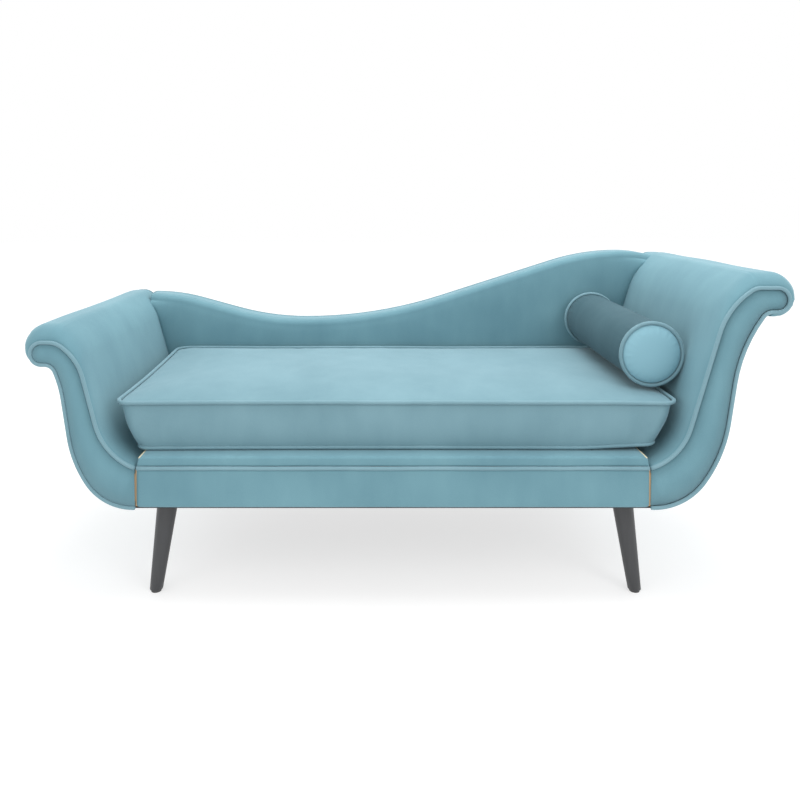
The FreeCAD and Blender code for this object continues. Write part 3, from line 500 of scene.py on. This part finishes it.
def makePad(side, arm, heart):
    inner, outer = skinLine(arm, padLook["under"]), paddedLine(arm)
    rows = [padFront(arm, inner, outer, step) for step in range(padLook["frontSteps"] + 1)]
    fronts = rows[-1]
    rows += [padRear(arm, inner, outer, fronts, step) for step in range(1, padLook["rearSteps"] + 1)]
    skirt = Vector((arm["sign"] * padLook["skirtIn"], 0, -padLook["skirtDrop"]))
    bm = openSheet([[row[0] + skirt] + row for row in rows], heart)
    keepCover(f"{side}_arm_padding", bm, f"{side}_arm_pad", padLook["wall"])
    return outer


def makeOutside(side, arm, heart):
    near, far = outsideLine(arm, padLook["under"]), outsideLine(arm, body["outsideSwell"])
    rows = []
    for step in range(panelLook["frontSteps"] + 1):
        out, back = roundShare(step, panelLook["frontSteps"])
        y = frontPlane + panelLook["deep"] * back
        rows.append([atArm(arm, one + (two - one) * out, y) for one, two in zip(near, far)])
    begin = frontPlane + panelLook["deep"]
    for step in range(1, panelLook["rearSteps"] + 1):
        y = begin + (armRear - begin) * step / panelLook["rearSteps"]
        rows.append([atArm(arm, point, y) for point in far])
    keepCover(f"{side}_outside_panel", openSheet(rows, heart), f"{side}_outside_arm", padLook["wall"])


def makeFacing(side, arm):
    outline = skinLine(arm, -facingLook["inset"]) + outsideLine(arm, -facingLook["inset"])[1:]
    bm = bmesh.new()
    face = bm.faces.new([bm.verts.new(atArm(arm, point, frontPlane)) for point in outline])
    bm.normal_update()
    if face.normal.y > 0:
        face.normal_flip()
    for wide, rise in facingLook["rounding"]:
        face.normal_update()
        bmesh.ops.inset_region(bm, faces=[face], thickness=wide, depth=rise, use_even_offset=True)
    bmesh.ops.triangulate(bm, faces=[face])
    keepCover(f"{side}_facing_panel", bm, f"{side}_arm_facing", padLook["wall"], levels=0)
    outline = skinLine(arm, 0) + outsideLine(arm, 0)[1:]
    line = [atArm(arm, point, faceY + facingLook["cordBehind"]) for point in outline]
    keepCord(f"{side}_facing_cord", [line], pipingVelvet, [f"{side}_facing_piping"])


def makeArm(side, arm):
    heart = Vector((baseX + arm["sign"] * (tipX(arm) - 0.09), 0, arm["top"] - 0.2))
    outer = makePad(side, arm, heart)
    makeOutside(side, arm, heart)
    makeFacing(side, arm)
    return outer


paddedOutlines = {side: makeArm(side, arm) for side, arm in arms.items()}
print("arms made")

# Back with its wave

wave = {"leftOver": 0.180, "rightOver": 0.274, "shoulderRise": 0.032, "peakRise": 0.041, "peakOver": 0.155,
        "dipX": -0.265, "dip": 0.561, "fallRun": 0.125, "riseRun": 0.383, "shoulderShare": 0.4,
        "peakShare": 0.33, "peakFall": 0.350, "corner": 0.022}
backLook = {"edge": 0.020, "crown": 0.010, "bottom": 0.300, "front": 0.010, "faceSteps": 24, "edgeSteps": 7,
            "edgeDeep": 0.9, "behindWall": 0.012, "leastFace": 0.03, "waver": 0.002, "seam": 0.033,
            "seamDrop": 0.004, "stripFront": 0.035, "stripWide": 0.050, "stripRound": 0.009,
            "stripTurn": 0.094, "stripHang": 0.045, "rim": 0.003}


def sCurve(across, climb, run):
    turn = 2 * math.atan2(climb, across + run)
    return math.degrees(turn), (across - run * math.cos(turn)) / math.sin(turn)


def waveLine():
    leftX = -body["seamX"] - wave["leftOver"]
    rightX = body["seamX"] + wave["rightOver"]
    peakX = body["seamX"] + wave["peakOver"]
    shoulder = arms["left"]["top"] + wave["shoulderRise"]
    peak = arms["right"]["top"] + wave["peakRise"]
    down, radiiDown = sCurve(wave["dipX"] - leftX - wave["corner"], shoulder - wave["dip"], wave["fallRun"])
    up, radiiUp = sCurve(peakX - wave["dipX"], peak - wave["dip"], wave["riseRun"])
    fall = math.degrees(math.asin((rightX - wave["corner"] - peakX) / (wave["peakFall"] - wave["corner"])))
    trail = Trail(leftX + wave["corner"], shoulder, 0)
    trail.turn(wave["shoulderShare"] * radiiDown, -down, 14)
    trail.run(wave["fallRun"], 6)
    trail.turn((1 - wave["shoulderShare"]) * radiiDown, down, 16)
    trail.turn((1 - wave["peakShare"]) * radiiUp, up, 22)
    trail.run(wave["riseRun"], 16)
    trail.turn(wave["peakShare"] * radiiUp, -up, 16)
    trail.turn(wave["peakFall"], -fall, 8)
    return trail.points()


def wallHeight(x):
    points = paddedOutlines["right" if x > 0 else "left"]
    for one, two in zip(points, points[1:]):
        if one.x <= abs(x) <= two.x:
            return one.z + (two.z - one.z) * (abs(x) - one.x) / max(two.x - one.x, 1e-6)
    return points[0].z


def waveRow(points, offsetY, dropZ=0, share=1.0, bulge=0.0):
    row = []
    for point in points:
        low = backLook["bottom"]
        if abs(point.x) > body["seamX"]:
            low = min(wallHeight(point.x) - backLook["behindWall"], point.z - backLook["leastFace"])
        z = low + (point.z - dropZ - low) * share
        row.append(Vector((baseX + point.x, backY + offsetY - bulge, z)))
    return row


topLine = waveLine()
edge = backLook["edge"]
rows = []
for step in range(backLook["faceSteps"] + 1):
    share = step / backLook["faceSteps"]
    bulge = backLook["crown"] * math.sin(math.pi * min(1, share * 0.96 + 0.04)) ** 0.6
    rows.append(waveRow(topLine, backLook["front"], edge, share, bulge))
for step in range(1, backLook["edgeSteps"] + 1):
    out, back = roundShare(step, backLook["edgeSteps"])
    rows.append(waveRow(topLine, backLook["front"] + edge * back * backLook["edgeDeep"], edge * (1 - out)))
rows.append(waveRow(topLine, backLook["seam"] - 0.002))
rows.append(waveRow(topLine, backLook["seam"], backLook["seamDrop"]))
bm, _ = drawOut(rows)
for vert in bm.verts:
    soft = noise.noise(Vector((vert.co.x * 4.5, 7, vert.co.z * 6))) + 0.5 * noise.noise(vert.co * 17)
    vert.co.y -= soft * backLook["waver"]
turnOutwards(bm, Vector((baseX, backY + 0.06, 0.4)))
keepCover("inside_back_padding", bm, "inside_back", 0.005)

stripFront, stripRound = backLook["stripFront"], backLook["stripRound"]
rows = [waveRow(topLine, backLook["seam"], backLook["seamDrop"])]
rows += [waveRow(topLine, stripFront + backLook["stripWide"] * step / 5) for step in range(6)]
for step in range(1, 5):
    out, back = roundShare(step, 4)
    rows.append(waveRow(topLine, stripFront + backLook["stripWide"] + stripRound * out, stripRound * back))
rows.append(waveRow(topLine, backLook["stripTurn"], backLook["stripHang"]))
bm = openSheet(rows, Vector((baseX, backY + 0.05, 0.4)))
keepCover("back_top_band", bm, "back_top_strip", 0.003)

bm = bmesh.new()
bm.from_mesh(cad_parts["outside_back"].data)
bmesh.ops.remove_doubles(bm, verts=bm.verts, dist=1e-5)
rim = [edgeOf for edgeOf in bm.edges if len(edgeOf.link_faces) == 2 and edgeOf.calc_face_angle(0) > 1
       and min(vert.co.y for vert in edgeOf.verts) > rearY - 0.001]
bmesh.ops.bevel(bm, geom=rim, offset=backLook["rim"], affect="EDGES", segments=3, profile=0.5, material=-1)
keepCover("rear_panel", bm, "outside_back", levels=0)
print("back made")

# Seat base: two upholstered bands with a cord between them

bandLook = {"round": 0.010, "proud": 0.0015, "deckRound": 0.007, "lip": 0.006, "lipDrop": 0.004,
            "seamBehind": 0.014, "steps": 60, "slack": 0.0009, "wall": 0.003, "endIn": 0.020,
            "deckEndIn": 0.004, "deckSink": 0.006, "cordSteps": 80, "cordSlack": 0.0006}
deckLow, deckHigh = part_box("deck_cover")


def bandX(low, high, count):
    return [low + (high - low) * step / count for step in range(count + 1)]


def bandRows(profile, low, high):
    rows = []
    for x in bandX(low, high, bandLook["steps"]):
        slack = [bandLook["slack"] * noise.noise(Vector((x * 9, z * 14, 2))) for _, z in profile]
        rows.append([Vector((x, y + loose, z)) for (y, z), loose in zip(profile, slack)])
    return rows


def tuckEnds(rows, tuckIn, lowest):
    first, last = ([Vector((spot.x, spot.y + tuckIn, min(spot.z, lowest))) for spot in row]
                   for row in (rows[0], rows[-1]))
    return [first] + rows + [last]


def quarter(centreY, centreZ, radius, start, end, steps=6):
    places = []
    for step in range(steps + 1):
        angle = math.radians(start + (end - start) * step / steps)
        places.append((centreY + radius * math.cos(angle), centreZ + radius * math.sin(angle)))
    return places


soft, lip, lipDrop = bandLook["round"], bandLook["lip"], bandLook["lipDrop"]
frontY = faceY + bandLook["proud"]
seamY = faceY + bandLook["seamBehind"]
profile = [(faceY + 0.05, baseLow.z), *quarter(frontY + soft, baseLow.z + soft, soft, 270, 180)]
profile += [(frontY, baseLow.z + 0.03), (frontY, baseHigh.z - 0.02)]
profile += [*quarter(frontY + lip, baseHigh.z - lipDrop, lip, 180, 90, 4), (seamY, baseHigh.z + 0.001)]
rows = tuckEnds(bandRows(profile, baseLow.x, baseHigh.x), bandLook["endIn"], 1)
bm = openSheet(rows, Vector((baseX, faceY + 0.1, baseLow.z + 0.04)))
keepCover("front_band", bm, "base_front", bandLook["wall"])

soft = bandLook["deckRound"]
deckEnd = body["seamHeight"] - bandLook["deckSink"]
profile = [(seamY, deckLow.z - 0.001), *quarter(frontY + lip, deckLow.z + lipDrop, lip, 270, 180, 4)]
profile += quarter(frontY + soft, deckHigh.z - soft, soft, 180, 90)
profile += [(faceY + 0.1, deckHigh.z), (faceY + 0.35, deckHigh.z), (deckHigh.y, deckHigh.z)]
profile += [(deckHigh.y + 0.001, deckHigh.z - lipDrop), (deckHigh.y + 0.001, deckEnd)]
rows = tuckEnds(bandRows(profile, deckLow.x, deckHigh.x), bandLook["deckEndIn"], deckEnd)
bm = openSheet(rows, Vector((baseX, faceY + 0.3, deckLow.z - 0.05)))
keepCover("deck_top", bm, "deck_cover", bandLook["wall"])

pipeLow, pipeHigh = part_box("base_piping")
pipeY, pipeZ = (pipeLow.y + pipeHigh.y) / 2, (pipeLow.z + pipeHigh.z) / 2
line = [Vector((x, pipeY, pipeZ + bandLook["cordSlack"] * noise.noise(Vector((x * 8, 0, 0)))))
        for x in bandX(pipeLow.x, pipeHigh.x, bandLook["cordSteps"])]
keepCord("base_cord", [line], pipingVelvet, ["base_piping"])
print("seat base made")

# Loose seat cushion

cushion = {"leftFoot": 0.614, "rightFoot": 0.634, "flare": 0.046, "front": 0.042, "depth": 0.568,
           "height": 0.112, "backRise": 0.018, "crown": 0.024, "corner": 0.034, "draw": 0.005,
           "swell": 0.006, "seamInset": 0.0045, "lift": 0.009, "liftFrom": 0.42, "liftRun": 0.22,
           "pucker": 0.0035, "cornerSteps": 8, "longSteps": 90, "shortSteps": 40, "drawFades": 0.25,
           "borderSteps": 14, "cornerGrows": 0.25, "crownRun": 0.22, "crease": 0.0018, "creaseReach": 0.035}
bottomRings = (0.272, 0.24, 0.18, 0.10, 0.05, 0.02)
topRings = (0.004, 0.010, 0.018, 0.028, 0.04, 0.055, 0.075, 0.10, 0.13, 0.16, 0.19, 0.215, 0.24, 0.26, 0.272)
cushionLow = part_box("seat_cushion_cover")[0].z


def onCorner(x, y, toX, toY, corner, angle):
    angle = math.radians(angle)
    return Vector((x + toX * corner + corner * math.cos(angle), y + toY * corner + corner * math.sin(angle), 0))


def cushionRing(inset, share, above=0.0, cornerOver=0.0):
    flare = cushion["flare"] * share
    left = baseX - cushion["leftFoot"] - flare + inset
    right = baseX + cushion["rightFoot"] + flare - inset
    front = faceY + cushion["front"] + inset
    back = faceY + cushion["front"] + cushion["depth"] - inset
    corner = min(cushion["corner"] + cornerOver, (back - front) / 2 - 0.0005)
    draw = cushion["draw"] * max(0, 1 - inset / cushion["drawFades"])
    spots = ((right, back, -1, -1), (left, back, 1, -1), (left, front, 1, 1), (right, front, -1, 1))
    ring = []
    for number, count in enumerate((cushion["longSteps"], cushion["shortSteps"]) * 2):
        for step in range(cushion["cornerSteps"] + 1):
            ring.append(onCorner(*spots[number], corner, 90 * (number + step / cushion["cornerSteps"])))
        begin = ring[-1]
        end = onCorner(*spots[(number + 1) % 4], corner, 90 * (number + 1))
        inwards = Vector((begin.y - end.y, end.x - begin.x, 0)).normalized()
        for step in range(1, count):
            at = step / count
            ring.append(begin + (end - begin) * at + inwards * (4 * draw * at * (1 - at)))
    for point in ring:
        backShare = (point.y - faceY - cushion["front"]) / cushion["depth"]
        rise = ease((point.x - baseX - cushion["liftFrom"]) / cushion["liftRun"])
        point.z = cushionLow + cushion["height"] * share + cushion["backRise"] * backShare * share + above
        point.z += cushion["lift"] * rise * (1 - share)
        point.z += 0.0016 * noise.noise(Vector((point.x * 5, point.y * 5, share * 2))) * share
    return ring


def puckered(ring, share, fade):
    out = []
    for number, point in enumerate(ring):
        along = ring[(number + 1) % len(ring)] - ring[number - 1]
        outwards = Vector((along.y, -along.x, 0)).normalized()
        x = point.x - baseX
        busy = 0.35 + 1.1 * math.exp(-((x + 0.61) / 0.05) ** 2) + math.exp(-((x - 0.60) / 0.06) ** 2)
        fold = noise.noise(Vector((x * 34, point.y * 34, share * 1.3)))
        fold += 0.5 * noise.noise(Vector((x * 70, point.y * 70, share * 2)))
        wide = noise.noise(Vector((x * 5, point.y * 5, share))) * 0.002
        out.append(point + outwards * (fold * cushion["pucker"] * busy * fade + wide * fade))
    return out


seam, grows = cushion["seamInset"], cushion["cornerGrows"]
rows = [cushionRing(seam + inset, 0, 0, inset * grows) for inset in bottomRings]
rows.append(cushionRing(seam + 0.004, 0))
for step in range(cushion["borderSteps"] + 1):
    share = step / cushion["borderSteps"]
    swell = cushion["swell"] * math.sin(math.pi * share) ** 0.7
    fade = math.sin(math.pi * min(share + 0.12, 1)) ** 0.8
    rows.append(puckered(cushionRing(seam - swell, share), share, fade))
for inset in topRings:
    rise = cushion["crown"] * (1 - (1 - min(inset / cushion["crownRun"], 1)) ** 2.3)
    ring = cushionRing(seam + inset, 1, rise, inset * grows)
    crease = cushion["crease"] * math.exp(-inset / cushion["creaseReach"])
    for point in ring:
        point.z += crease * noise.noise(Vector((point.x * 40, point.y * 40, 5)))
        point.z += 0.0035 * noise.noise(Vector((point.x * 3.2, point.y * 4.5, 1))) * min(1, inset / 0.05)
        point.z += 0.0012 * noise.noise(Vector((point.x * 14, point.y * 10, 3))) * min(1, inset / 0.03)
    rows.append(ring)
bm = closedForm(rows, Vector((baseX, faceY + 0.33, cushionLow + 0.05)))
seatCushion = keep("seat_cushion", bm, cushionVelvetPaintedLight, ["seat_cushion_cover"], "seat_cushion")
keepCord("cushion_top_cord", [cushionRing(-0.001, 1, 0.001)], pipingVelvet,
         ["cushion_top_piping"], "seat_cushion", closed=True)
keepCord("cushion_bottom_cord", [cushionRing(0.002, 0, body["pipeRadius"] + 0.0005)], cushionVelvetPaintedLight,
         ["cushion_bottom_piping"], "seat_cushion", radius=0.004, closed=True)
print("cushion made")

# Bolster against the right arm

bolster = {"radius": 0.075, "length": 0.496, "tilt": 1.6, "yaw": 1.5, "endCrown": 0.014, "sides": 120,
           "gather": 0.0014, "gatherReach": 0.020, "pleats": 23, "finePleats": 37, "bodySteps": 40,
           "tuck": 0.0022, "tuckReach": 0.006, "swell": 0.0015}
# radius, depth behind the end and pleat of each ring of a disc, from its middle
discRings = ((0.003, 0.0, 0.0), (0.012, 0.0, 0.0), (0.026, 0.0005, 0.0), (0.040, 0.0015, 0.0),
             (0.052, 0.003, 0.0001), (0.062, 0.006, 0.0004), (0.069, 0.010, 0.0004), (0.0738, 0.014, 0.0))
bolsterPlace = Matrix.Translation((boxLow + boxHigh) / 2)
bolsterPlace @= Matrix.Rotation(math.radians(bolster["yaw"]), 4, "Z")
bolsterPlace @= Matrix.Rotation(math.radians(bolster["tilt"]), 4, "X")


def bolsterRing(y, radius, gather=0.0, push=0.0):
    ring = []
    for step in range(bolster["sides"]):
        angle = 2 * math.pi * step / bolster["sides"]
        wander = noise.noise(Vector((math.cos(angle) * 2.2, math.sin(angle) * 2.2, 4)))
        fold = math.sin(bolster["pleats"] * angle + 2.4 * wander)
        fold += 0.6 * math.sin(bolster["finePleats"] * angle + 3 * wander)
        size = radius + gather * fold * (0.6 + 0.6 * abs(math.sin(angle)))
        ring.append(Vector((size * math.cos(angle), y + push * fold, size * math.sin(angle))))
    return ring


half = bolster["length"] / 2
edgeY = half - bolster["endCrown"]
rows = [bolsterRing(-half + out, radius, 0, push) for radius, out, push in discRings]
for step in range(1, bolster["bodySteps"]):
    share = step / bolster["bodySteps"]
    close = min(share, 1 - share) * 2 * edgeY
    gather = bolster["gather"] * math.exp(-close / bolster["gatherReach"])
    tuck = bolster["tuck"] * math.exp(-close / bolster["tuckReach"])
    radius = bolster["radius"] - tuck + bolster["swell"] * math.sin(math.pi * share)
    rows.append(bolsterRing(-edgeY + 2 * edgeY * share, radius, gather))
rows += [bolsterRing(half - out, radius, 0, -push) for radius, out, push in reversed(discRings)]
bm = closedForm(rows, bolsterPlace.translation, bolsterPlace)
keep("bolster", bm, bolsterVelvetPaintedShade, ["bolster_cover"], "bolster")
ringRadius = bolster["radius"] + body["pipeRadius"] * 0.6
rings = [[bolsterPlace @ point for point in bolsterRing(y, ringRadius)] for y in (-edgeY, edgeY)]
keepCord("bolster_cord", rings, pipingVelvet, ["bolster_piping"], "bolster", closed=True)
print("bolster made")

# Legs: tapered, splayed and softly turned at the foot

leg = {"topRadius": 0.026, "footRadius": 0.0155, "splay": 0.024, "soft": 0.002, "segments": 56}


def makeLeg(end, side):
    node = f"{end}_{side}_leg"
    low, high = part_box(node)
    toX = 1 if side == "left" else -1
    toY = 1 if end == "front" else -1
    foot = Vector((low.x + leg["footRadius"] if toX > 0 else high.x - leg["footRadius"],
                   low.y + leg["footRadius"] if toY > 0 else high.y - leg["footRadius"], low.z))
    tall = high.z - low.z
    soft = leg["soft"]
    bm = bmesh.new()
    profile = [(0, 0), (leg["footRadius"] - soft, 0), (leg["footRadius"], soft)]
    profile += [(leg["footRadius"] + (leg["topRadius"] - leg["footRadius"]) * share, tall * share)
                for share in (0.12, 0.25, 0.5, 0.75, 0.98)]
    profile += [(leg["topRadius"], tall), (0, tall)]
    verts = [bm.verts.new((radius, 0, z)) for radius, z in profile]
    edges = [bm.edges.new(pair) for pair in zip(verts, verts[1:])]
    bmesh.ops.spin(bm, geom=verts + edges, cent=(0, 0, 0), axis=(0, 0, 1), angle=2 * math.pi,
                   steps=leg["segments"], use_merge=True)
    bmesh.ops.remove_doubles(bm, verts=bm.verts, dist=1e-5)
    for vert in bm.verts:
        share = vert.co.z / tall
        vert.co += foot + Vector((toX, toY, 0)) * leg["splay"] * share
    bmesh.ops.recalc_face_normals(bm, faces=bm.faces)
    keep(f"{end}_{side}_turned_leg", bm, legWood, [node], levels=0)


for end in ("front", "rear"):
    for side in ("left", "right"):
        makeLeg(end, side)

# Pieces inside and below keep their own shape

hiddenNodes = {
    "frame_timber": [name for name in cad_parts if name.endswith(("_gable", "_rail", "posts", "_blocks"))],
    "webbing": ["webbing_straps", "webbing_long_straps"],
    "foam": ["deck_foam", "seat_cushion_filling", "bolster_filling"],
    "dust_cloth": ["dust_cover"],
    "steel": ["leg_plates", "leg_bolts"],
    "glide_plastic": ["leg_glides"],
}
for finishName, nodes in hiddenNodes.items():
    for node in nodes:
        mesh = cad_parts[node].data
        mesh.materials.clear()
        mesh.materials.append(hiddenFinishes[finishName])
print("hidden pieces finished")
